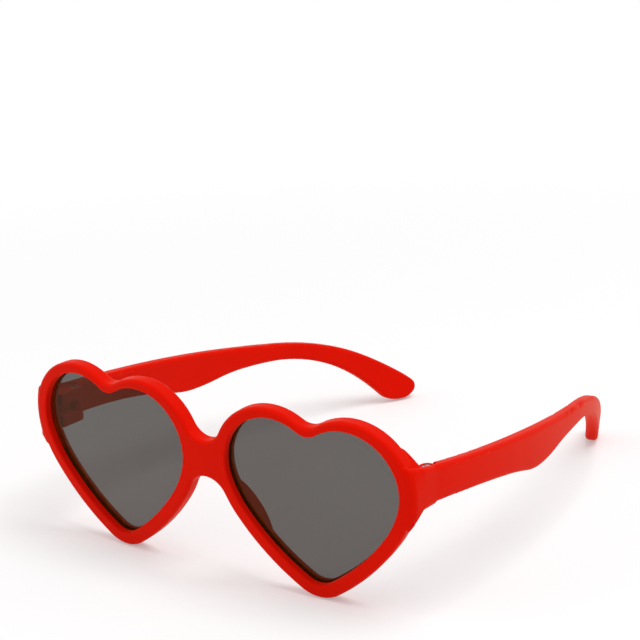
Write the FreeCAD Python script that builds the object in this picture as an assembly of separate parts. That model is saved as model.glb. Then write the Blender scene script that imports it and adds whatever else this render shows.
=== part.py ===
import FreeCAD, Part
import os
from math import acos, asin, atan2, cos, degrees, radians, sin, sqrt

# Heart shaped sunglasses, open and standing on the two rim tips and the two temple tips.
# X runs across the face, the front looks along -Y and +Z is up. Lengths are in millimetres.
# Left and right are the wearer's: the left side lies at +X.

# Lens opening, a heart of tangent arcs that is symmetric about its own axis. The side's arc takes its
# radius from the height below the lobes' centres, and starts at a share of the half heart's lean
opening_width = 50.8
opening_height = 44.2
lobe_radius = 14.7
side_radius_share = 0.9254
side_angle_share = 0.442
flank_radius = 67.0
tip_radius = 6.1
notch_radius = 4.9

# Rim around the opening; its rounded edges together take at most a share of the thinnest wall
rim_top = 2.6
rim_side = 3.65
rim_bottom = 3.8
rim_depth = 4.6
rim_notch_radius = 5.6
rim_front_round = 1.2
rim_back_round = 1.0
opening_round = 0.5
round_wall_share = 0.85

# Face of the front: one ball's skin, whose foremost point lies above the rim's lowest line
face_radius = 487.0
face_height = 27.8
front_tilt = 4.7

# Bridge: the width between the openings, and where its arches cross the middle, about the lobes' height
bridge_width = 14.0
bridge_rise = 4.6
bridge_drop = 5.6

# Lenses, a little more curved than the face
lens_radius = 470.0
lens_setback = 1.8
lens_thickness = 1.2
groove_depth = 1.0
lens_clearance = 0.05

# Nose rests, rounded fins behind the rim on both sides of the nose
rest_drop = 3.8
rest_length_share = 0.44
rest_inset = 0.8
rest_thickness = 1.7
rest_reach = 3.1
rest_splay = 0.9
rest_round = 0.6

# End pieces that carry the hinges
end_piece_length = 10.0
end_piece_proud = 0.4
end_piece_tuck = 0.2
end_piece_height = 9.6
end_piece_rise = 0.6
end_piece_flare = 1.8
gusset_height = 5.0

# Hinges: three knuckles on an upright screw
barrel_diameter = 4.0
barrel_setback = 1.9
barrel_overhang = 1.1
barrel_drop = 1.2
hinge_skin = 1.45
hinge_clearance = 0.15
knuckle_clearance = 0.1
seam_gap = 0.1
screw_diameter = 1.4
screw_head_diameter = 2.6
screw_head_height = 0.8
screw_head_sink = 0.15
screw_slot_width = 0.4
screw_slot_depth = 0.4
screw_clearance = 0.04
insert_diameter = 2.4
insert_inset = 0.13

# Temples: the outer face is a ball's skin, widest a little way behind the seam
temple_length = 138.0
temple_thickness = 3.8
temple_bow_radius = 243.0
temple_widest = 24.0
temple_round = 1.2

# Stations of the temple's edges: share of the length, share of the edge's height at the seam
# and fall of the second share along the first; the foot is the lowest point of the tip
temple_top_shares = [
    (0, 1, 0.436),
    (0.478, 0.793, 0.493),
    (0.791, 0.559, 1.336),
    (0.931, 0.27, 2.452),
    (0.972, 0.145, 3.432),
]
temple_low_shares = [
    (0, 1, 0.281),
    (0.254, 0.859, 0.892),
    (0.388, 0.735, 0),
    (0.53, 0.785, 0),
    (0.694, 0.707, 1.265),
    (0.821, 0.417, 3.306),
    (0.893, 0.09, 5.189),
]
temple_foot_share = 0.944

# Half angle of the skin, in radians, that a drawing is cut from, and the gap closed where faces join
dome_span = 0.7
sewing_gap = 0.001

# Cuts and helper blocks run past the solids by this much
overrun = 10.0

heart_axis = (opening_width + bridge_width) / 2
lobe_height = rim_bottom + opening_height - lobe_radius
side_radius = (opening_height - lobe_radius) * side_radius_share
side_angle = atan2(opening_width / 2, opening_height - lobe_radius) * side_angle_share
rest_top = lobe_height - rest_drop
rest_bottom = rest_top - opening_height * rest_length_share


def unit(u, v):
    """A direction in the front's plane."""
    size = sqrt(u * u + v * v)
    return (u / size, v / size)


def along(centre, direction, distance):
    """The point at a distance from a centre, in the front's plane."""
    return (centre[0] + direction[0] * distance, centre[1] + direction[1] * distance)


def towards(a, b):
    """The direction from one point of the front's plane to another."""
    return unit(b[0] - a[0], b[1] - a[1])


def point(p):
    """A point of the front's plane in space."""
    return FreeCAD.Vector(p[0], 0, p[1])


def three_points(arc):
    """Start, middle and end of the shorter arc between two points of a circle."""
    start, end, centre, radius = arc
    a = towards(centre, start)
    b = towards(centre, end)
    return (start, along(centre, unit(a[0] + b[0], a[1] + b[1]), radius), end)


class Heart:
    """One heart outline about its own axis, wider than the opening by the given amounts.

    The half outline runs over five tangent arcs: tip, flank, side, lobe and notch.
    """

    def __init__(self, side, top, bottom, notch):
        lobe_u = opening_width / 2 - lobe_radius
        shift = side_radius - lobe_radius
        self.tip_r = tip_radius + bottom
        self.flank_r = flank_radius + side
        self.side_r = side_radius + side
        self.lobe_r = lobe_radius + top
        self.notch_r = notch
        self.tip_c = (0, rim_bottom + tip_radius)
        self.side_c = (lobe_u - shift * cos(side_angle), lobe_height + shift * sin(side_angle))
        self.flank_c = self.flank_centre()
        across = sqrt((self.side_r - self.lobe_r) ** 2 - (lobe_height - self.side_c[1]) ** 2)
        self.lobe_c = (self.side_c[0] + across, lobe_height)
        rise = sqrt((self.lobe_r + self.notch_r) ** 2 - self.lobe_c[0] ** 2)
        self.notch_c = (0, lobe_height + rise)
        self.half_width = self.lobe_c[0] + self.lobe_r
        self.tip_end = along(self.flank_c, towards(self.flank_c, self.tip_c), self.flank_r)
        self.flank_end = along(self.flank_c, towards(self.flank_c, self.side_c), self.flank_r)
        self.side_end = along(self.side_c, towards(self.side_c, self.lobe_c), self.side_r)
        self.lobe_end = along(self.lobe_c, towards(self.lobe_c, self.notch_c), self.lobe_r)

    def flank_centre(self):
        """Centre of the flank's circle, which holds the tip's and the side's circles inside."""
        to_tip = self.flank_r - self.tip_r
        to_side = self.flank_r - self.side_r
        gap = sqrt((self.side_c[0] - self.tip_c[0]) ** 2 + (self.side_c[1] - self.tip_c[1]) ** 2)
        ahead = (to_tip ** 2 - to_side ** 2 + gap ** 2) / (2 * gap)
        aside = sqrt(to_tip ** 2 - ahead ** 2)
        e = towards(self.tip_c, self.side_c)
        return (self.tip_c[0] + ahead * e[0] - aside * e[1], self.tip_c[1] + ahead * e[1] + aside * e[0])

    def half_arcs(self):
        """The side arcs of one half, from the tip to the notch: start, end, centre, radius."""
        return [
            (self.tip_end, self.flank_end, self.flank_c, self.flank_r),
            (self.flank_end, self.side_end, self.side_c, self.side_r),
            (self.side_end, self.lobe_end, self.lobe_c, self.lobe_r),
        ]

    def middle_arcs(self):
        """The tip's and the notch's arcs, which cross the axis."""
        return [
            (flip(self.tip_end), self.tip_end, self.tip_c, self.tip_r),
            (self.lobe_end, flip(self.lobe_end), self.notch_c, self.notch_r),
        ]

    def arcs(self):
        """All arcs at the left heart's place, with the heart on their left."""
        half = self.half_arcs()
        return [shift_arc(a, heart_axis) for a in half + [flip_arc(a) for a in half] + self.middle_arcs()]


def flip(p):
    """Mirrors a point about the heart's or the front's middle."""
    return (-p[0], p[1])


def flip_arc(arc):
    """Mirrors an arc about the middle and turns it round, so the material stays on its left."""
    return (flip(arc[1]), flip(arc[0]), flip(arc[2]), arc[3])


def turned_arc(arc):
    """The same arc run the other way."""
    return (arc[1], arc[0]) + arc[2:]


def shift_arc(arc, u):
    """Moves an arc sideways."""
    return ((arc[0][0] + u, arc[0][1]), (arc[1][0] + u, arc[1][1]), (arc[2][0] + u, arc[2][1]), arc[3])


def opening_heart(grow):
    """The opening's outline, grown evenly."""
    return Heart(grow, grow, grow, notch_radius - grow)


def rim_heart(grow):
    """The rim's outer outline, grown evenly."""
    return Heart(rim_side + grow, rim_top + grow, rim_bottom + grow, rim_notch_radius - grow)


def heart_face(heart):
    """An outline at the left heart's place, as a flat face."""
    edges = [Part.Arc(*[point(p) for p in three_points(a)]).toShape() for a in heart.arcs()]
    return Part.Face(Part.Wire(Part.__sortEdges__(edges)))


def bridge_arch(height, below, arcs):
    """The arch that crosses the middle at a height and meets one of the nose side's arcs.

    Gives the arch's end, its centre and radius, and the arc that it meets.
    """
    sign = -1 if below else 1
    arches = []
    for arc in arcs:
        centre, radius = arc[2], arc[3]
        lift = height - centre[1]
        r = (centre[0] ** 2 + lift ** 2 - radius ** 2) / (2 * (radius - sign * lift))
        arch_c = (0, height + sign * r)
        end = along(centre, towards(centre, arch_c), radius)
        low, high = sorted((arc[0][1], arc[1][1]))
        miss = max(low - end[1], end[1] - high, 0)
        arches.append((miss, end, arch_c, r, arc))
    return min(arches)[1:]


def front_arcs():
    """The whole front's outer outline: two hearts joined by the bridge's arches."""
    heart = rim_heart(0)
    outer = [shift_arc(a, heart_axis) for a in heart.half_arcs() + heart.middle_arcs()]
    nose = [shift_arc(flip_arc(a), heart_axis) for a in heart.half_arcs()]
    top_end, top_c, top_r, top_arc = bridge_arch(lobe_height + bridge_rise, False, nose)
    low_end, low_c, low_r, low_arc = bridge_arch(lobe_height - bridge_drop, True, nose)
    kept = nose[:nose.index(low_arc)] + nose[nose.index(top_arc) + 1:]
    kept.append((low_end, low_arc[1]) + low_arc[2:])
    kept.append((top_arc[0], top_end) + top_arc[2:])
    half = outer + kept
    arches = [(top_end, flip(top_end), top_c, top_r), (flip(low_end), low_end, low_c, low_r)]
    return half + [flip_arc(a) for a in half] + arches


def biarc(p, t, q, w):
    """Two tangent arcs that leave p along t and reach q along w: start, middle and end of each."""
    v = (q[0] - p[0], q[1] - p[1])
    size = v[0] ** 2 + v[1] ** 2
    ahead = v[0] * (t[0] + w[0]) + v[1] * (t[1] + w[1])
    reach = size / (ahead + sqrt(ahead ** 2 + 2 * (1 - t[0] * w[0] - t[1] * w[1]) * size))
    knees = (along(p, t, reach), along(q, w, -reach))
    joint = half_way(*knees)
    return [bend(p, knees[0], joint, reach), bend(joint, knees[1], q, reach)]


def half_way(a, b):
    """The point between two points."""
    return ((a[0] + b[0]) / 2, (a[1] + b[1]) / 2)


def bend(start, knee, end, reach):
    """The arc inside a knee with two equal legs: start, middle and end."""
    chord = half_way(start, end)
    half = sqrt((end[0] - start[0]) ** 2 + (end[1] - start[1]) ** 2) / 2
    share = half / (half + reach)
    return (start, (chord[0] + (knee[0] - chord[0]) * share, chord[1] + (knee[1] - chord[1]) * share), end)


def arc_into(start, end, way):
    """The arc between two points that reaches its end along a direction: start, middle and end."""
    chord = (end[0] - start[0], end[1] - start[1])
    reach = (chord[0] ** 2 + chord[1] ** 2) / (2 * (chord[0] * way[0] + chord[1] * way[1]))
    return bend(start, along(end, way, -reach), end, reach)


class Dome:
    """A ball that carries a drawing on its skin.

    A circle of the drawing is a circle on the skin, so tangent arcs stay tangent, and every wall
    and every rounded edge below the drawing is a plain surface of revolution.
    """

    def __init__(self, radius, centre, outward, across):
        self.radius = radius
        self.centre = centre
        self.outward = outward
        self.across = across
        self.up = outward.cross(across)

    def ray(self, p):
        """The direction from the ball's centre through a point of the drawing."""
        a = p[0] / (2 * self.radius)
        b = p[1] / (2 * self.radius)
        flat = a * a + b * b
        return (self.outward * (1 - flat) + self.across * (2 * a) + self.up * (2 * b)) * (1 / (1 + flat))

    def mark(self, place):
        """The drawing's point on the ray through a place in space."""
        ray = (place - self.centre).normalize()
        scale = 2 * self.radius / (1 + ray.dot(self.outward))
        return (ray.dot(self.across) * scale, ray.dot(self.up) * scale)

    def corner(self, start, inward, skin, round_radius):
        """Points of a rounded corner between the skin and a wall: on the skin, halfway, on the wall.

        A negative radius rounds the corner above an inner skin.
        """
        if round_radius == 0:
            return [self.centre + start * skin]
        seat = skin - round_radius
        lean = asin(abs(round_radius) / seat)
        ray = start * cos(lean) + inward * sin(lean)
        centre = self.centre + ray * seat
        on_skin = self.centre + ray * skin
        on_wall = self.centre + start * (seat * cos(lean))
        outward = (on_skin - centre + on_wall - centre).normalize()
        return [on_skin, centre + outward * abs(round_radius), on_wall]

    def wall(self, arc, skin, depth, front_round, back_round):
        """The faces below one arc, and the places where they leave the outer and the inner skin.

        Each of these places comes with the axis and the angle that swing it along the arc.
        """
        start, middle, end = [self.ray(p) for p in arc]
        axis = (middle - start).cross(end - start).normalize()
        travel = axis.cross(start).normalize()
        inward = start.cross(travel)
        a = start - axis * axis.dot(start)
        b = end - axis * axis.dot(end)
        turn = degrees(atan2(axis.dot(a.cross(b)), a.dot(b))) % 360
        front = self.corner(start, inward, skin, front_round)
        back = self.corner(start, inward, skin - depth, -back_round)
        edges = [Part.makeLine(front[-1], back[-1])]
        edges += [Part.Arc(*row).toShape() for row in (front, back) if len(row) > 1]
        faces = [e.revolve(self.centre, axis, turn) for e in edges]
        return faces, (front[0], axis, turn), (back[0], axis, turn)

    def skin(self, radius, rows):
        """The part of the ball's skin inside the closed rows of swung places, the outer row first."""
        surface = Part.Sphere()
        surface.Center = self.centre
        surface.Radius = radius
        u, v = surface.parameter(self.centre + self.outward * radius)
        patch = surface.toShape(u - dome_span, u + dome_span, v - dome_span, v + dome_span)
        blades = []
        for place, axis, turn in sum(rows, []):
            ray = (place - self.centre).normalize()
            lean = axis if axis.dot(ray) > 0 else -axis
            reach = (ray + lean).normalize() * overrun
            blades.append(Part.makeLine(place - reach, place + reach).revolve(self.centre, axis, turn))
        cells = patch.generalFuse(blades)[1][0]
        return [f for f in cells if len(f.Wires) == len(rows)][0]

    def plate(self, outlines, setback, depth):
        """A plate of even depth below the drawing.

        Each outline, the outer one first, has its arcs with the material on their left and the radii
        that round its front and its back edge.
        """
        skin = self.radius - setback
        faces = []
        fronts = []
        backs = []
        for arcs, front_round, back_round in outlines:
            rows = [self.wall(arc, skin, depth, front_round, back_round) for arc in arcs]
            faces += [f for row in rows for f in row[0]]
            fronts.append([row[1] for row in rows])
            backs.append([row[2] for row in rows])
        shell = Part.Compound(faces + [self.skin(skin, fronts), self.skin(skin - depth, backs)])
        shell.sewShape(sewing_gap)
        return Part.Solid(shell)


def block(x0, x1, y0, y1, z0, z1):
    """A box between two corners."""
    return Part.makeBox(x1 - x0, y1 - y0, z1 - z0, FreeCAD.Vector(x0, y0, z0))


def upright(x, y, z0, z1, diameter):
    """An upright cylinder."""
    return Part.makeCylinder(diameter / 2, z1 - z0, FreeCAD.Vector(x, y, z0))


def prism(face):
    """A face of the front's plane run back through the whole depth of the front."""
    placed = face.copy()
    placed.translate(FreeCAD.Vector(0, -overrun, 0))
    return placed.extrude(FreeCAD.Vector(0, face_radius / 2, 0))


def mirrored(shape):
    """The same shape on the other side of the face."""
    return shape.mirror(FreeCAD.Vector(0, 0, 0), FreeCAD.Vector(1, 0, 0))


def drawn(arcs):
    """Arcs of the front's plane as the face's dome takes them: three points each, about its middle."""
    return [tuple((p[0], p[1] - face_height) for p in three_points(a)) for a in arcs]


def rim_softness():
    """How much of the rim's rounded edges fits its thinnest wall, beside the notch."""
    opening = opening_heart(0)
    end = rim_heart(0).lobe_end
    wall = sqrt((end[0] - opening.lobe_c[0]) ** 2 + (end[1] - opening.lobe_c[1]) ** 2) - opening.lobe_r
    return min(1, wall * round_wall_share / (rim_front_round + opening_round))


def rim_slab():
    """The curved front with its two openings, before it is tilted."""
    soft = rim_softness()
    outline = (drawn(front_arcs()), rim_front_round * soft, rim_back_round * soft)
    hole = [turned_arc(a) for a in opening_heart(0).arcs()]
    other = [turned_arc(flip_arc(a)) for a in opening_heart(0).arcs()]
    holes = [(drawn(arcs), opening_round * soft, opening_round * soft) for arcs in (hole, other)]
    return face_dome.plate([outline] + holes, 0, rim_depth)


def lens_shell(grow, slack):
    """A heart shaped piece of the lens's own shell, wider and thicker by the slack."""
    outline = (drawn(opening_heart(grow).arcs()), 0, 0)
    return lens_dome.plate([outline], lens_setback - slack, lens_thickness + 2 * slack)


def nose_rest():
    """The left fin behind the nose side of the rim, splayed away from the nose, with a bowed crest."""
    band = heart_face(rim_heart(-rest_inset)).cut(heart_face(rim_heart(-rest_inset - rest_thickness)))
    window = block(0, heart_axis, -overrun, overrun, rest_bottom, rest_top)
    fin = band.common(window).Faces[0]
    start = rim_depth / 2
    reach = rim_depth - start + rest_reach
    fin.translate(FreeCAD.Vector(0, start, 0))
    fin = fin.extrude(FreeCAD.Vector(rest_splay, reach, 0) * 2)
    half = (rest_top - rest_bottom) / 2
    bow = (half ** 2 + reach ** 2) / (2 * reach)
    centre = FreeCAD.Vector(0, start + reach - bow, rest_bottom + half)
    fin = fin.common(Part.makeCylinder(bow, heart_axis, centre, FreeCAD.Vector(1, 0, 0)))
    rear = [e for e in fin.Edges if e.CenterOfMass.y > start + reach / 2 and e.BoundBox.ZLength > rest_round]
    return fin.makeFillet(rest_round, rear)


def tilted(shape):
    """Leans the top of the front forward and stands it on the floor."""
    shape = shape.copy()
    shape.rotate(FreeCAD.Vector(0, 0, 0), FreeCAD.Vector(1, 0, 0), front_tilt)
    shape.translate(FreeCAD.Vector(0, 0, stand_height))
    return shape


def on_face(u, v):
    """The standing place of a point of the front's face."""
    place = face_dome.centre + face_dome.ray((u, v - face_height)) * face_radius
    return tilted(Part.Vertex(place)).Point


def ear_face():
    """The end piece's outline in the front's plane: it stands proud of the rim and runs into its side."""
    heart = rim_heart(0)
    centre = (heart.side_c[0] + heart_axis, heart.side_c[1])
    widest = lobe_height + end_piece_rise
    drop = end_piece_height / 2 + end_piece_length * sin(radians(front_tilt)) + temple_round
    corner = (root_outer, widest - drop)
    reach = sqrt((corner[0] - centre[0]) ** 2 + (corner[1] - centre[1]) ** 2)
    turn = atan2(corner[1] - centre[1], corner[0] - centre[0]) - acos(heart.side_r / reach)
    foot = along(centre, (cos(turn), sin(turn)), heart.side_r)
    inner = heart_axis + opening_width / 2
    top = widest + end_piece_height
    outline = [(inner, foot[1]), foot, corner, (corner[0], top), (inner, top), (inner, foot[1])]
    return Part.Face(Part.makePolygon([point(p) for p in outline]))


def end_piece():
    """The left end piece: it runs back from the rim to the seam and is tallest at the rim."""
    rear = side_place.y + rim_depth
    start = side_place.y + rim_front_round
    nose = (side_place.x - end_piece_tuck, start)
    seam = (root_outer, seam_y)
    sweep = biarc(nose, unit(-side_place.x, face_radius), seam, unit(temple_widest, bow_depth))
    edges = [Part.Arc(*[FreeCAD.Vector(*p, 0) for p in arc]).toShape() for arc in sweep]
    corners = [seam, (root_inner, seam_y), (root_inner, start), nose]
    edges += Part.makePolygon([FreeCAD.Vector(*p, 0) for p in corners]).Edges
    plan = Part.Face(Part.Wire(edges)).extrude(FreeCAD.Vector(0, 0, root_top + overrun))
    foot = (start, root_low - gusset_height)
    under = arc_into(foot, (seam_y, root_low), unit(temple_length, -root_low * temple_low_shares[0][2]))
    corners = [foot, (start, root_top + end_piece_flare), (seam_y, root_top), (seam_y, root_low)]
    edges = [Part.Arc(*[FreeCAD.Vector(0, *p) for p in under]).toShape()]
    edges += Part.makePolygon([FreeCAD.Vector(0, *p) for p in corners]).Edges
    profile = Part.Face(Part.Wire(Part.__sortEdges__(edges)))
    profile = profile.extrude(FreeCAD.Vector(root_outer + overrun, 0, 0))
    body = plan.common(profile)
    body = body.makeFillet(temple_round, [e for e in body.Edges if is_outer_rib(e)])
    shelf = block(0, root_outer - hinge_skin, rear, seam_y + overrun, barrel_high, root_top + overrun)
    return body.common(tilted(prism(ear_face()))).cut(shelf)


def is_outer_rib(edge):
    """Tells whether an edge runs back to the seam along the end piece's outer face."""
    near, far = sorted([v.Point for v in edge.Vertexes], key=lambda p: p.y)
    if far.y - near.y < rim_front_round:
        return False
    return abs(far.y - seam_y) < sewing_gap and abs(far.x - root_outer) < sewing_gap


def knuckle(z0, z1):
    """One ring of the left hinge's barrel."""
    return upright(hinge_x, hinge_y, z0, z1, barrel_diameter)


def lug(z0, z1):
    """One knuckle of the front, with the block that joins it to the end piece."""
    radius = barrel_diameter / 2
    stem = block(hinge_x - radius, hinge_x + radius, side_place.y + rim_depth, hinge_y, z0, z1)
    return knuckle(z0, z1).fuse(stem).removeSplitter()


def front_frame():
    """The moulded front: rims, bridge, nose rests, end pieces and the outer knuckles."""
    rest = tilted(nose_rest())
    left = end_piece().fuse([lug(barrel_low, middle_low - knuckle_clearance / 2), rest,
                             lug(middle_high + knuckle_clearance / 2, barrel_high)])
    left = left.cut(upright(hinge_x, hinge_y, middle_low - knuckle_clearance / 2,
                            middle_high + knuckle_clearance / 2, barrel_diameter + 2 * hinge_clearance))
    left = left.cut(upright(hinge_x, hinge_y, barrel_low - overrun, barrel_high + overrun,
                            screw_diameter + 2 * screw_clearance))
    left = left.cut(upright(hinge_x, hinge_y, head_seat, barrel_high + overrun,
                            screw_head_diameter + 2 * screw_clearance))
    left = left.cut(upright(hinge_x, hinge_y, insert_low, middle_low, insert_diameter + 2 * screw_clearance))
    groove = tilted(lens_shell(groove_depth, 0))
    frame = tilted(rim_slab()).fuse([left, mirrored(left)])
    return frame.cut([groove, mirrored(groove)]).removeSplitter()


def lens():
    """The left lens, which sits in the rim's groove."""
    return tilted(lens_shell(groove_depth - lens_clearance, -lens_clearance))


def hinge_screw():
    """The left hinge's screw, with a slotted head."""
    screw = upright(hinge_x, hinge_y, insert_low, head_seat, screw_diameter)
    head = upright(hinge_x, hinge_y, head_seat, head_seat + screw_head_height, screw_head_diameter)
    slot = block(hinge_x - screw_head_diameter, hinge_x + screw_head_diameter,
                 hinge_y - screw_slot_width / 2, hinge_y + screw_slot_width / 2,
                 head_seat + screw_head_height - screw_slot_depth, barrel_high + overrun)
    return screw.fuse(head).cut(slot).removeSplitter()


def threaded_insert():
    """The left hinge's metal insert in the lower knuckle, which the screw turns into."""
    body = upright(hinge_x, hinge_y, insert_low, insert_high, insert_diameter)
    bore = upright(hinge_x, hinge_y, insert_low - overrun, barrel_high, screw_diameter + 2 * screw_clearance)
    return body.cut(bore)


def temple_station(station, root, front):
    """A station of the temple's edge: its point in the dome's drawing and its direction to the tip."""
    length_share, height_share, fall_share = station
    y = front + temple_length * length_share
    z = root * height_share
    centre = temple_dome.centre
    x = centre.x - sqrt(temple_dome.radius ** 2 - (y - centre.y) ** 2 - (z - centre.z) ** 2)
    return temple_dome.mark(FreeCAD.Vector(x, y, z)), unit(-temple_length, -root * fall_share)


def temple_blank():
    """The right temple without its hinge, run on past the seam."""
    front = seam_y + seam_gap
    rows = [temple_station(row, root_top, front) for row in temple_top_shares]
    foot = temple_station((temple_foot_share, 0, 0), root_top, front)
    rows.append((foot[0], flip(foot[1])))
    for row in reversed(temple_low_shares):
        place, way = temple_station(row, root_low, front)
        rows.append((place, (-way[0], -way[1])))
    rows.insert(0, (along(*rows[0], -overrun), rows[0][1]))
    rows.append((along(*rows[-1], overrun), rows[-1][1]))
    arcs = []
    for a, b in zip(rows, rows[1:] + rows[:1]):
        arcs += biarc(*a, *b)
    return temple_dome.plate([(arcs, temple_round, temple_round)], 0, temple_thickness)


def temple():
    """The left temple with its middle knuckle."""
    front = seam_y + seam_gap
    blank = mirrored(temple_blank())
    blank = blank.cut(block(0, 2 * root_outer, front - 2 * overrun, front, -overrun, root_top + overrun))
    radius = barrel_diameter / 2
    reach = radius + hinge_clearance
    pocket = upright(hinge_x, hinge_y, barrel_low - overrun, barrel_high + overrun, 2 * reach)
    mouth = block(hinge_x - overrun, hinge_x + reach, seam_y - overrun, hinge_y,
                  barrel_low - overrun, barrel_high + overrun)
    blank = blank.cut(pocket.fuse(mouth))
    low = middle_low + knuckle_clearance / 2
    high = middle_high - knuckle_clearance / 2
    arm = block(hinge_x, root_outer - hinge_skin / 2, front, hinge_y + reach + hinge_clearance, low, high)
    ring = knuckle(low, high).fuse(arm)
    hole = upright(hinge_x, hinge_y, barrel_low - overrun, barrel_high + overrun,
                   screw_diameter + 2 * screw_clearance)
    return blank.fuse(ring).cut(hole).removeSplitter()


# The front is tilted first, then lifted until its lowest point meets the floor
face_dome = Dome(face_radius, FreeCAD.Vector(0, face_radius, face_height), FreeCAD.Vector(0, -1, 0),
                 FreeCAD.Vector(1, 0, 0))
lens_dome = Dome(lens_radius, FreeCAD.Vector(0, lens_radius, face_height), FreeCAD.Vector(0, -1, 0),
                 FreeCAD.Vector(1, 0, 0))
stand_height = 0
stand_height = -tilted(rim_slab()).optimalBoundingBox(False).ZMin

# Places at the left hinge, shared by the end piece, the hinge and the temple
side_place = on_face(heart_axis + rim_heart(0).half_width, lobe_height)
seam_y = side_place.y + end_piece_length
root_outer = side_place.x + end_piece_proud
root_inner = root_outer - temple_thickness
root_middle = side_place.z + end_piece_rise
root_top = root_middle + end_piece_height / 2
root_low = root_middle - end_piece_height / 2
bow_depth = sqrt(temple_bow_radius ** 2 - temple_widest ** 2 - (end_piece_height / 2) ** 2)
temple_dome = Dome(temple_bow_radius,
                   FreeCAD.Vector(bow_depth - root_outer, seam_y + temple_widest, root_low),
                   FreeCAD.Vector(-1, 0, 0), FreeCAD.Vector(0, -1, 0))
hinge_x = root_outer - hinge_skin - hinge_clearance - barrel_diameter / 2
hinge_y = seam_y + barrel_setback
barrel_low = root_low - barrel_overhang
barrel_high = root_top - barrel_drop
middle_low = barrel_low + (barrel_high - barrel_low) / 3
middle_high = barrel_high - (barrel_high - barrel_low) / 3
head_seat = barrel_high - screw_head_sink - screw_head_height
insert_low = barrel_low + insert_inset
insert_high = middle_low - insert_inset

pieces = {
    "front_frame": front_frame(),
    "left_lens": lens(),
    "left_temple": temple(),
    "left_hinge_screw": hinge_screw(),
    "left_threaded_insert": threaded_insert(),
}
for name in ("lens", "temple", "hinge_screw", "threaded_insert"):
    pieces["right_" + name] = mirrored(pieces["left_" + name])

# The origin lies on the floor, under the middle of the whole object
front_y = pieces["front_frame"].optimalBoundingBox(False).YMin
back_y = pieces["left_temple"].optimalBoundingBox(False).YMax
middle_y = (front_y + back_y) / 2
os.makedirs("parts", exist_ok=True)
for name, shape in pieces.items():
    shape.translate(FreeCAD.Vector(0, -middle_y, 0))
    shape.exportStep(os.path.join("parts", name + ".step"))
    box = shape.optimalBoundingBox(False)
    print(name, len(shape.Solids), shape.isValid(), round(shape.Volume, 1),
          [round(v, 2) for v in (box.XMin, box.XMax, box.YMin, box.YMax, box.ZMin, box.ZMax)])
print("places", [round(v, 3) for v in (stand_height, middle_y, seam_y - middle_y, root_low, root_top)])
print("hinge", round(hinge_x, 3), round(hinge_y - middle_y, 3), round(barrel_low, 3), round(barrel_high, 3))
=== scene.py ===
import logging
import math
from dataclasses import dataclass, field
from enum import Enum
from typing import Any, Sequence

import bmesh
import bpy
from mathutils import Matrix, Vector


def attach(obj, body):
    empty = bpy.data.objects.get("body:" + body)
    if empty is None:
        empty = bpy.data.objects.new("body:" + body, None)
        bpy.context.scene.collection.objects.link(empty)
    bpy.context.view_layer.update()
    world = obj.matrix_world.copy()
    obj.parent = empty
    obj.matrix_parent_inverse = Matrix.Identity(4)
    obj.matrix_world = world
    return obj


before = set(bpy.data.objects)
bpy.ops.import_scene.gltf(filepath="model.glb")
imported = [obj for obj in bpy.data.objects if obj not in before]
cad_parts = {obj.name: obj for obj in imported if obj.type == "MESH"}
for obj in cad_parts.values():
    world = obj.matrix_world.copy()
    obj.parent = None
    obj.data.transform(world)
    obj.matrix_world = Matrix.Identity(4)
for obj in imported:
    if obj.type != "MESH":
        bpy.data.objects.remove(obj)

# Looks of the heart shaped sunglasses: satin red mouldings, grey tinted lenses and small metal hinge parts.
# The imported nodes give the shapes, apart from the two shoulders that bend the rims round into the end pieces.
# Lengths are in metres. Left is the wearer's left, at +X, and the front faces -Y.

LOG = logging.getLogger("heart_sunglasses")
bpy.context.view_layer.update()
IMAGE_SIZE = 640

Colour = tuple[float, float, float]
Place = tuple[float, float, float]
WHITE: Colour = (1.0, 1.0, 1.0)

# Numbers of the mix node's colour sockets, whose names it also uses for its other sockets.
MIX_LOW = 6
MIX_HIGH = 7
MIX_RESULT = 2

# Kinds of ray that see the white backdrop instead of the light that falls on the object.
SEEING_RAYS = ("Is Camera Ray", "Is Glossy Ray", "Is Transmission Ray")


class Side(Enum):
    """The wearer's side that a piece belongs to."""

    LEFT = "left"
    RIGHT = "right"


def opaque(colour: Colour) -> tuple[float, float, float, float]:
    """Returns: the colour with full alpha, as a colour socket takes it."""
    return (*colour, 1.0)


def limited(share: float) -> float:
    """Returns: the share kept between 0 and 1."""
    return min(max(share, 0.0), 1.0)


def eased(share: float) -> float:
    """Returns: the share kept between 0 and 1, with a soft start and end."""
    kept = limited(share)
    return kept * kept * (3.0 - 2.0 * kept)


def added(name: str, shape: bmesh.types.BMesh) -> bpy.types.Object:
    """Turns a finished shape into an object of the scene.

    Args:
        name: the object's name.
        shape: the shape, which is freed.

    Returns:
        The new object, at the origin.
    """
    mesh = bpy.data.meshes.new(name)
    shape.to_mesh(mesh)
    shape.free()
    piece = bpy.data.objects.new(name, mesh)
    bpy.context.scene.collection.objects.link(piece)
    return piece


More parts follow.
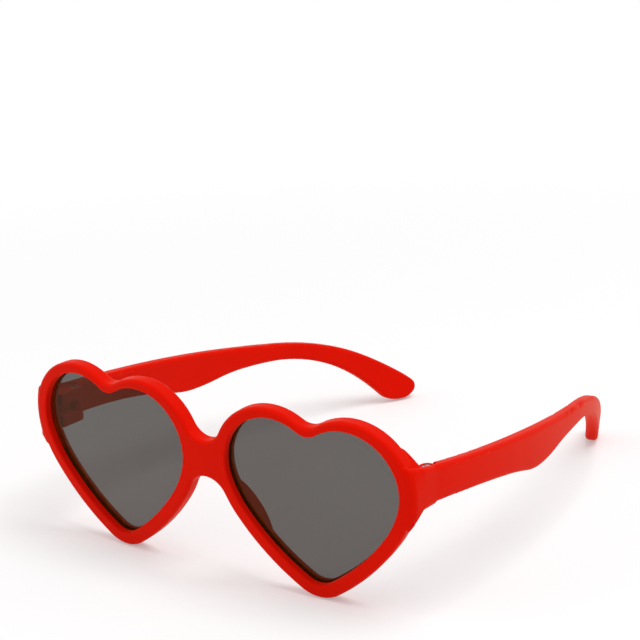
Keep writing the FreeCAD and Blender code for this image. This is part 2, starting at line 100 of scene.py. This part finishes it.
class Graph:
    """The node tree of one material or world, cleared so that it can be filled."""

    def __init__(self, tree: bpy.types.NodeTree) -> None:
        """Takes over a node tree and clears it.

        Args:
            tree: the tree to fill.
        """
        self.tree = tree
        tree.nodes.clear()

    def node(self, kind: str, settings: dict[str, Any] | None = None,
             sockets: dict[Any, Any] | None = None) -> bpy.types.Node:
        """Makes a node, with its settings first because they change which sockets it has.

        Args:
            kind: the node's type name.
            settings: values of the node's own properties.
            sockets: a constant or a Value for each input, by name or number.

        Returns:
            The new node.
        """
        made = self.tree.nodes.new(kind)
        for name, value in (settings or {}).items():
            setattr(made, name, value)
        for name, value in (sockets or {}).items():
            self.feed(made.inputs[name], value)
        return made

    def feed(self, target: bpy.types.NodeSocket, value: Any) -> None:
        """Links a Value to an input, or sets the input's constant.

        Args:
            target: the input socket.
            value: a Value or a constant.
        """
        if isinstance(value, Value):
            self.tree.links.new(value.socket, target)
        else:
            target.default_value = value

    def value(self, kind: str, settings: dict[str, Any] | None = None,
              sockets: dict[Any, Any] | None = None, output: str | int = 0) -> "Value":
        """Makes a node and gives one of its outputs.

        Args:
            kind: the node's type name.
            settings: values of the node's own properties.
            sockets: a constant or a Value for each input.
            output: the output's name or number.

        Returns:
            The output as a Value.
        """
        return Value(self, self.node(kind, settings, sockets).outputs[output])

    def place(self) -> "Value":
        """Returns: the place on the object in its own coordinates, in metres."""
        return self.value("ShaderNodeTexCoord", output="Object")

    def noise(self, scale: float, detail: float) -> "Value":
        """Even noise over the object's own coordinates.

        Args:
            scale: features per metre.
            detail: octaves of finer noise.

        Returns:
            Noise between 0 and 1.
        """
        return self.value("ShaderNodeTexNoise", {"noise_dimensions": "3D"},
                          {"Vector": self.place(), "Scale": scale, "Detail": detail}, "Fac")

    def mixed(self, factor: "Value", low: Colour, high: Colour) -> "Value":
        """A colour between two colours.

        Args:
            factor: 0 gives the first colour and 1 the second.
            low: the first colour.
            high: the second colour.

        Returns:
            The mixed colour.
        """
        return self.value("ShaderNodeMix", {"data_type": "RGBA"},
                          {"Factor": factor, MIX_LOW: opaque(low), MIX_HIGH: opaque(high)}, MIX_RESULT)

    def bump(self, height: "Value", strength: float, distance: float) -> "Value":
        """A bent normal from a height.

        Args:
            height: the height over the surface.
            strength: share of the bump that is used.
            distance: the height's full size in metres.

        Returns:
            The normal.
        """
        return self.value("ShaderNodeBump", {},
                          {"Height": height, "Strength": strength, "Distance": distance})

    def seen(self) -> "Value":
        """Returns: 1 where a ray shows the scene, and 0 where it only lights it."""
        path = self.node("ShaderNodeLightPath")
        first, *others = [Value(self, path.outputs[name]) for name in SEEING_RAYS]
        return sum(others, first).limited()


@dataclass(frozen=True)
class Value:
    """One number, colour or direction in a graph, which can be used in sums."""

    graph: Graph
    socket: bpy.types.NodeSocket

    def combined(self, operation: str, other: Any) -> "Value":
        """Combines this value with another.

        Args:
            operation: the math node's operation.
            other: a Value or a constant.

        Returns:
            The result.
        """
        return self.graph.value("ShaderNodeMath", {"operation": operation}, {0: self, 1: other})

    def __add__(self, other: Any) -> "Value":
        """Returns: the sum."""
        return self.combined("ADD", other)

    def __sub__(self, other: Any) -> "Value":
        """Returns: the difference."""
        return self.combined("SUBTRACT", other)

    def __mul__(self, other: Any) -> "Value":
        """Returns: the product."""
        return self.combined("MULTIPLY", other)

    def limited(self) -> "Value":
        """Returns: the value kept between 0 and 1."""
        return self.graph.value("ShaderNodeClamp", {}, {"Value": self})

    def spread(self, low: float, high: float) -> "Value":
        """Stretches a value from 0 to 1 over another range.

        Args:
            low: the result at 0.
            high: the result at 1.

        Returns:
            The stretched value.
        """
        return self * (high - low) + low


@dataclass(frozen=True)
class Finish:
    """A finish that can be made into a material."""

    name: str

    def material(self) -> bpy.types.Material:
        """Returns: a new material with this finish."""
        made = bpy.data.materials.new(self.name)
        made.use_nodes = True
        graph = Graph(made.node_tree)
        graph.node("ShaderNodeOutputMaterial", {}, {"Surface": self.shader(graph)})
        LOG.info("material %s made", self.name)
        return made

    def shader(self, graph: Graph) -> Value:
        """Builds the finish's shader.

        Args:
            graph: the material's graph.

        Returns:
            The shader.
        """
        raise NotImplementedError


@dataclass(frozen=True)
class MouldedPlastic(Finish):
    """Dyed plastic with a satin skin: faint clouds in the dye and a fine, shallow grain."""

    deep: Colour
    bright: Colour
    gloss_tint: Colour
    sheen_tint: Colour
    gloss: float = 0.018
    sheen: float = 0.2
    sheen_roughness: float = 0.45
    smooth: float = 0.34
    rough: float = 0.46
    cloud_scale: float = 55.0
    cloud_detail: float = 3.0
    grain_scale: float = 2600.0
    grain_detail: float = 2.0
    grain_height: float = 0.00002
    grain_strength: float = 0.25

    def shader(self, graph: Graph) -> Value:
        """Builds the plastic.

        Args:
            graph: the material's graph.

        Returns:
            The shader.
        """
        clouds = graph.noise(self.cloud_scale, self.cloud_detail)
        grain = graph.noise(self.grain_scale, self.grain_detail)
        return graph.value("ShaderNodeBsdfPrincipled", {}, {
            "Base Color": graph.mixed(clouds, self.deep, self.bright),
            "Roughness": clouds.spread(self.rough, self.smooth),
            "Specular IOR Level": self.gloss,
            "Specular Tint": opaque(self.gloss_tint),
            "Sheen Weight": self.sheen,
            "Sheen Roughness": self.sheen_roughness,
            "Sheen Tint": opaque(self.sheen_tint),
            "Normal": graph.bump(grain, self.grain_strength, self.grain_height),
        })


@dataclass(frozen=True)
class TintedLens(Finish):
    """Smooth plastic that lets part of the light through each of its two faces."""

    deep: Colour
    bright: Colour
    cover: float = 0.66
    cover_change: float = 0.01
    gloss: float = 0.12
    smooth: float = 0.06
    rough: float = 0.14
    haze_scale: float = 30.0
    haze_detail: float = 2.0

    def shader(self, graph: Graph) -> Value:
        """Builds the lens.

        Args:
            graph: the material's graph.

        Returns:
            The shader.
        """
        haze = graph.noise(self.haze_scale, self.haze_detail)
        return graph.value("ShaderNodeBsdfPrincipled", {}, {
            "Base Color": graph.mixed(haze, self.deep, self.bright),
            "Roughness": haze.spread(self.smooth, self.rough),
            "Specular IOR Level": self.gloss,
            "Alpha": haze.spread(self.cover - self.cover_change, self.cover + self.cover_change),
        })


@dataclass(frozen=True)
class TurnedMetal(Finish):
    """Bare turned metal with fine, uneven marks."""

    deep: Colour
    bright: Colour
    smooth: float = 0.22
    rough: float = 0.4
    mark_scale: float = 3000.0
    mark_detail: float = 2.0
    mark_height: float = 0.00001
    mark_strength: float = 0.2

    def shader(self, graph: Graph) -> Value:
        """Builds the metal.

        Args:
            graph: the material's graph.

        Returns:
            The shader.
        """
        marks = graph.noise(self.mark_scale, self.mark_detail)
        return graph.value("ShaderNodeBsdfPrincipled", {}, {
            "Base Color": graph.mixed(marks, self.deep, self.bright),
            "Roughness": marks.spread(self.smooth, self.rough),
            "Metallic": 1.0,
            "Normal": graph.bump(marks, self.mark_strength, self.mark_height),
        })


RED = MouldedPlastic("red_moulding", deep=(0.70, 0.0045, 0.0008), bright=(0.77, 0.0065, 0.0012),
                     gloss_tint=(1.0, 0.78, 0.6), sheen_tint=(1.0, 0.3, 0.1))
TINT = TintedLens("grey_tint", deep=(0.026, 0.013, 0.0006), bright=(0.032, 0.017, 0.0010))
STEEL = TurnedMetal("screw_steel", deep=(0.48, 0.48, 0.50), bright=(0.62, 0.62, 0.64))
BRASS = TurnedMetal("insert_brass", deep=(0.62, 0.42, 0.16), bright=(0.78, 0.56, 0.24))


@dataclass
class Assembly:
    """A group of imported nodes, each with the finish that it wears."""

    finishes: dict[str, Finish] = field(default_factory=dict)
    weld_distance: float = 1e-6
    sharp_degrees: float = 32.0
    face_weight: int = 100

    def dress(self, materials: dict[str, bpy.types.Material]) -> None:
        """Gives every node of the group its finish.

        Args:
            materials: materials made so far, by finish name; new ones are added.
        """
        for node, finish in self.finishes.items():
            self.wear(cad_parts[node], finish, materials)

    def wear(self, piece: bpy.types.Object, finish: Finish, materials: dict[str, bpy.types.Material]) -> None:
        """Gives one piece its material and its shading.

        Args:
            piece: the piece, whose mesh keeps its shape.
            finish: the finish that it wears.
            materials: materials made so far, by finish name; a new one is added.
        """
        if finish.name not in materials:
            materials[finish.name] = finish.material()
        piece.data.materials.clear()
        piece.data.materials.append(materials[finish.name])
        self.smooth(piece)
        LOG.info("%s wears %s", piece.name, finish.name)

    def smooth(self, piece: bpy.types.Object) -> None:
        """Shades a piece's faces by their size, so that broad faces stay even up to their rounded edges.

        Args:
            piece: the piece, whose mesh stays as it is.
        """
        weld = piece.modifiers.new("weld", "WELD")
        weld.merge_threshold = self.weld_distance
        split = piece.modifiers.new("sharp_edges", "EDGE_SPLIT")
        split.split_angle = math.radians(self.sharp_degrees)
        split.use_edge_sharp = False
        even = piece.modifiers.new("even_shading", "WEIGHTED_NORMAL")
        even.weight = self.face_weight


@dataclass
class Front(Assembly):
    """The moulded front with its two lenses."""

    def __post_init__(self) -> None:
        """Names the front's nodes and their finishes."""
        self.finishes["front_frame"] = RED
        for side in Side:
            self.finishes[f"{side.value}_lens"] = TINT


@dataclass
class Temple(Assembly):
    """One folding temple."""

    side: Side = Side.LEFT

    def __post_init__(self) -> None:
        """Names the temple's node and its finish."""
        self.finishes[f"{self.side.value}_temple"] = RED


@dataclass
class Shoulder(Assembly):
    """The moulded bend that carries a rim's face round into the end piece beside it."""

    side: Side = Side.LEFT
    body: str = "front"
    slot: str = "frame_plastic"
    columns: int = 48
    rows: int = 40

    # Plan of the skin: a lead on the rim's face, a round bend, then a straight flank back to the seam.
    centre: tuple[float, float] = (0.05964, -0.06799)
    radius: float = 0.0022
    face_degrees: float = 6.75
    side_degrees: float = 88.85
    seam: float = -0.06004
    lead: float = 0.0014
    sunk: float = 0.00013

    # How the skin follows the rim: its tilt, and its rounding to and from the height where the rim is widest.
    middle: float = 0.033
    lean: float = 0.071
    outline_curve: float = 27.5
    lobe_curve: float = 33.0
    flare_run: float = 0.0065

    # The lower edge, which drops into a tail away from the seam, and the tail's sinking into the rim.
    low: float = 0.02885
    low_drop: float = 0.0062
    low_start: float = 0.0042
    low_span: float = 0.0075
    tail_sunk: float = 0.0009
    tail_share: float = 0.35

    # The upper edge, which rises away from the seam and faster towards the lobe.
    top: float = 0.03855
    top_slope: float = 0.22
    lobe_start: float = 0.0085
    lobe_slope: float = 0.5

    # The roll of both edges.
    edge_round: float = 0.0012
    edge_share: float = 0.2
    edge_degrees: float = 100.0

    # The inner wall, and the web that fills the corner between the end piece and the lobe above it.
    inner_place: tuple[float, float] = (0.0602, -0.0670)
    web_start: float = 0.004
    web_span: float = 0.002
    web_reach: float = 0.0032
    web_rise: float = 0.0044

    def __post_init__(self) -> None:
        """Works out the directions of face and side, and the lengths of the bend and the flank."""
        self.first: float = math.radians(self.face_degrees)
        self.last: float = math.radians(self.side_degrees)
        self.bend: float = self.radius * (self.last - self.first)
        back = self.seam - self.centre[1] + self.radius * math.cos(self.last)
        self.flank: float = back / math.sin(self.last)

    def dress(self, materials: dict[str, bpy.types.Material]) -> None:
        """Builds the shoulder and gives it the front's finish.

        Args:
            materials: materials made so far, by finish name.
        """
        self.wear(self.build(), RED, materials)

    def build(self) -> bpy.types.Object:
        """Returns: the shoulder, bent from a unit block of small cells and riding on the front."""
        half = 0.5
        block = bmesh.new()
        bmesh.ops.create_grid(block, x_segments=self.columns, y_segments=self.rows, size=half)
        bmesh.ops.translate(block, verts=block.verts[:], vec=(half, half, 0.0))
        grown = bmesh.ops.extrude_face_region(block, geom=block.faces[:], use_keep_orig=True)
        inner = [part for part in grown["geom"] if isinstance(part, bmesh.types.BMVert)]
        bmesh.ops.translate(block, verts=inner, vec=(0.0, 0.0, 1.0))
        for vertex in block.verts:
            vertex.co = self.point(*vertex.co)
        bmesh.ops.remove_doubles(block, verts=block.verts[:], dist=self.weld_distance)
        bmesh.ops.recalc_face_normals(block, faces=block.faces[:])
        for face in block.faces:
            face.smooth = True
        piece = added(f"{self.side.value}_shoulder", block)
        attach(piece, self.body)
        return piece

    def point(self, across: float, up: float, deep: float) -> Vector:
        """Bends a point of the unit block into place.

        Args:
            across: 0 on the rim's face, 1 at the seam beside the temple.
            up: 0 at the lower edge, 1 at the upper edge.
            deep: 0 on the skin, 1 on the inner wall.

        Returns:
            The point.
        """
        length = self.bend + self.flank
        run = across * (self.lead + length) - self.lead
        skin = self.skin(run, length - run, up)
        point = skin.lerp(self.inner_wall(skin, length - run, up), deep)
        above = point.z - self.middle
        curve = self.lobe_curve if above > 0.0 else self.outline_curve
        drawn_in = curve * above ** 2 * (1.0 - limited(run / self.flare_run))
        point -= Vector((math.cos(self.first), math.sin(self.first), 0.0)) * drawn_in
        point.y -= self.lean * above * (1.0 - limited(run / length))
        if self.side is Side.RIGHT:
            point.x = -point.x
        return point

    def skin(self, run: float, distance: float, up: float) -> Vector:
        """Finds a point of the skin before it follows the rim's outline and tilt.

        Args:
            run: length along the skin from the start of the bend, negative on the lead.
            distance: length along the skin to the seam.
            up: 0 at the lower edge, 1 at the upper edge.

        Returns:
            The point.
        """
        turn = self.first + (self.last - self.first) * limited(run / self.bend)
        outward = Vector((math.sin(turn), -math.cos(turn), 0.0))
        along = Vector((math.cos(turn), math.sin(turn), 0.0))
        height, rolled = self.edge(distance, up)
        tail = eased((distance - self.low_start) / self.low_span) * max(1.0 - up / self.tail_share, 0.0) ** 2
        inset = rolled + self.sunk * max(-run / self.lead, 0.0) + self.tail_sunk * tail
        straight = min(run, 0.0) + max(run - self.bend, 0.0)
        return Vector((*self.centre, height)) + outward * (self.radius - inset) + along * straight

    def inner_wall(self, skin: Vector, distance: float, up: float) -> Vector:
        """Finds the point of the inner wall behind a point of the skin.

        Args:
            skin: the point of the skin.
            distance: length along the skin to the seam.
            up: 0 at the lower edge, 1 at the upper edge.

        Returns:
            The point, which the web carries towards the rim and up the lobe.
        """
        web = eased((distance - self.web_start) / self.web_span)
        inner_x, inner_y = self.inner_place
        return Vector((min(skin.x, inner_x - self.web_reach * web), max(skin.y, inner_y),
                       skin.z + self.web_rise * web * up))

    def edge(self, distance: float, up: float) -> tuple[float, float]:
        """Finds a point's height, with both edges of the skin rolled inwards.

        Args:
            distance: length along the skin to the seam.
            up: 0 at the lower edge, 1 at the upper edge.

        Returns:
            The height and how far the skin is rolled in there.
        """
        low = self.low - self.low_drop * eased((distance - self.low_start) / self.low_span)
        top = self.top + self.top_slope * distance + self.lobe_slope * max(distance - self.lobe_start, 0.0)
        down = 1.0 - up
        near = min(up, down) / self.edge_share
        if near >= 1.0:
            share = (up - self.edge_share) / (1.0 - 2.0 * self.edge_share)
            return low + self.edge_round + (top - low - 2.0 * self.edge_round) * share, 0.0
        roll = math.radians(self.edge_degrees) * (1.0 - near)
        rise = self.edge_round * (1.0 - math.sin(roll))
        height = low + rise if up < down else top - rise
        return height, self.edge_round * (1.0 - math.cos(roll))


@dataclass
class Hinge(Assembly):
    """The metal parts of one hinge."""

    side: Side = Side.LEFT

    def __post_init__(self) -> None:
        """Names the hinge's nodes and their finishes."""
        self.finishes[f"{self.side.value}_hinge_screw"] = STEEL
        self.finishes[f"{self.side.value}_threaded_insert"] = BRASS


@dataclass(frozen=True)
class Lamp:
    """A round, soft, white light that looks at a point."""

    name: str
    place: Place
    power: float
    target: Place = (0.0, -0.02, 0.02)
    diameter: float = 1.0

    def add(self) -> None:
        """Adds the lamp, placed and turned."""
        data = bpy.data.lights.new(self.name, "AREA")
        data.shape = "DISK"
        data.size = self.diameter
        data.energy = self.power
        lamp = bpy.data.objects.new(self.name, data)
        lamp.location = self.place
        lamp.rotation_euler = (Vector(self.target) - Vector(self.place)).to_track_quat("-Z", "Y").to_euler()
        bpy.context.scene.collection.objects.link(lamp)


@dataclass(frozen=True)
class Studio:
    """A plain white floor under an even white sky, with soft lamps."""

    lamps: Sequence[Lamp]
    sky: float = 0.5
    backdrop: float = 1.0
    floor_size: float = 12.0
    floor_drop: float = 0.0002
    floor_colour: Colour = (0.95, 0.95, 0.95)
    near_glow: float = 0.3
    far_glow: float = 1.0
    near_radius: float = 0.12
    far_radius: float = 0.4

    def build(self) -> None:
        """Adds the sky, the floor and the lamps."""
        self.add_sky()
        self.add_floor()
        for lamp in self.lamps:
            lamp.add()

    def add_sky(self) -> None:
        """Lights the scene evenly and shows white behind it."""
        world = bpy.data.worlds.new("studio_sky")
        world.use_nodes = True
        bpy.context.scene.world = world
        graph = Graph(world.node_tree)
        light = graph.value("ShaderNodeBackground", {}, {"Color": opaque(WHITE), "Strength": self.sky})
        shown = graph.value("ShaderNodeBackground", {}, {"Color": opaque(WHITE), "Strength": self.backdrop})
        sky = graph.value("ShaderNodeMixShader", {}, {0: graph.seen(), 1: light, 2: shown})
        graph.node("ShaderNodeOutputWorld", {}, {"Surface": sky})

    def add_floor(self) -> None:
        """Adds the floor, which shows white with the object's soft shadow."""
        sheet = bmesh.new()
        bmesh.ops.create_grid(sheet, x_segments=1, y_segments=1, size=self.floor_size / 2)
        bmesh.ops.translate(sheet, verts=sheet.verts[:], vec=(0.0, 0.0, -self.floor_drop))
        floor = added("floor", sheet)
        floor.data.materials.append(self.floor_material())

    def floor_material(self) -> bpy.types.Material:
        """Returns: matt white that fades into the backdrop's plain white away from the object."""
        material = bpy.data.materials.new("floor_white")
        material.use_nodes = True
        graph = Graph(material.node_tree)
        matt = graph.value("ShaderNodeBsdfDiffuse", {}, {"Color": opaque(self.floor_colour)})
        glow = graph.value("ShaderNodeEmission", {}, {"Color": opaque(WHITE), "Strength": self.backdrop})
        distance = graph.value("ShaderNodeVectorMath", {"operation": "LENGTH"}, {0: graph.place()}, "Value")
        away = ((distance - self.near_radius) * (1 / (self.far_radius - self.near_radius))).limited()
        shown = graph.seen() * away.spread(self.near_glow, self.far_glow)
        surface = graph.value("ShaderNodeMixShader", {}, {0: shown, 1: matt, 2: glow})
        graph.node("ShaderNodeOutputMaterial", {}, {"Surface": surface})
        return material


@dataclass(frozen=True)
class Camera:
    """The photograph's camera, found from the outlines of the object."""

    place: Place
    target: Place
    roll_degrees: float
    focal_pixels: float
    sensor: float = 36.0
    far_clip: float = 50.0

    def add(self) -> None:
        """Adds the camera and sets it as the scene's camera."""
        data = bpy.data.cameras.new("photo_camera")
        data.sensor_fit = "HORIZONTAL"
        data.sensor_width = self.sensor
        data.lens = self.sensor * self.focal_pixels / IMAGE_SIZE
        data.clip_end = self.far_clip
        camera = bpy.data.objects.new("photo_camera", data)
        turn = (Vector(self.target) - Vector(self.place)).to_track_quat("-Z", "Y").to_matrix().to_4x4()
        roll = Matrix.Rotation(math.radians(self.roll_degrees), 4, "Z")
        camera.matrix_world = Matrix.Translation(self.place) @ turn @ roll
        bpy.context.scene.collection.objects.link(camera)
        bpy.context.scene.camera = camera


STUDIO = Studio(lamps=(
    Lamp("key", place=(0.42, 0.0, 1.25), power=11.0),
    Lamp("fill", place=(-0.8, -0.8, 0.6), power=2.2),
))
CAMERA = Camera(place=(0.31168, -0.44805, 0.21676), target=(-0.00435, -0.01548, 0.05365), roll_degrees=-1.63,
                focal_pixels=2031.1)


def main() -> None:
    """Dresses the object and sets up the studio and the camera."""
    logging.basicConfig(level=logging.INFO)
    materials: dict[str, bpy.types.Material] = {}
    groups: list[Assembly] = [Front()]
    for side in Side:
        groups += [Shoulder(side=side), Temple(side=side), Hinge(side=side)]
    for group in groups:
        group.dress(materials)
    STUDIO.build()
    CAMERA.add()
    bpy.context.scene.view_settings.view_transform = "Standard"


if __name__ == "__main__":
    main()
